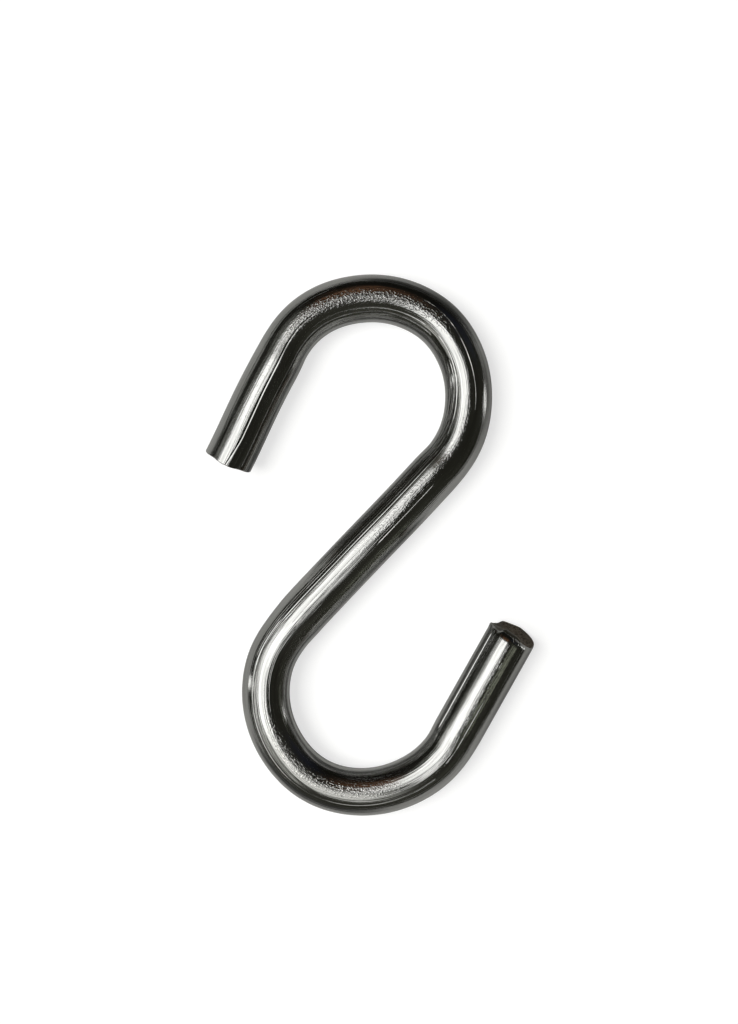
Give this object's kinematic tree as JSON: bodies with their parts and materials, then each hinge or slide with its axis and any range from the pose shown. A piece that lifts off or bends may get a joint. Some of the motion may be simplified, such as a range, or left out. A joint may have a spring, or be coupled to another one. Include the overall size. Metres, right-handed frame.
{
  "type": "s hook",
  "caption": "Open S hook bent from one round steel bar, with two equal round hooks that face opposite ways and sheared ends.",
  "frame": {"origin": "under the middle of the straight shank, on the surface that the hook lies on", "axes": "the hook lies flat on its side: +Y runs along its length towards the upper hook, +Z up through the thickness of the bar, +X to the right seen from above; to hang it, stand it up so that +Y is up"},
  "size_m": [0.0335, 0.055, 0.005],
  "materials": {
    "bar": "bright plated drawn steel with fine die lines along the bar and a slight grain in the bends"
  },
  "bodies": {
    "root": {"hook": "bar"}
  },
  "joints": []
}
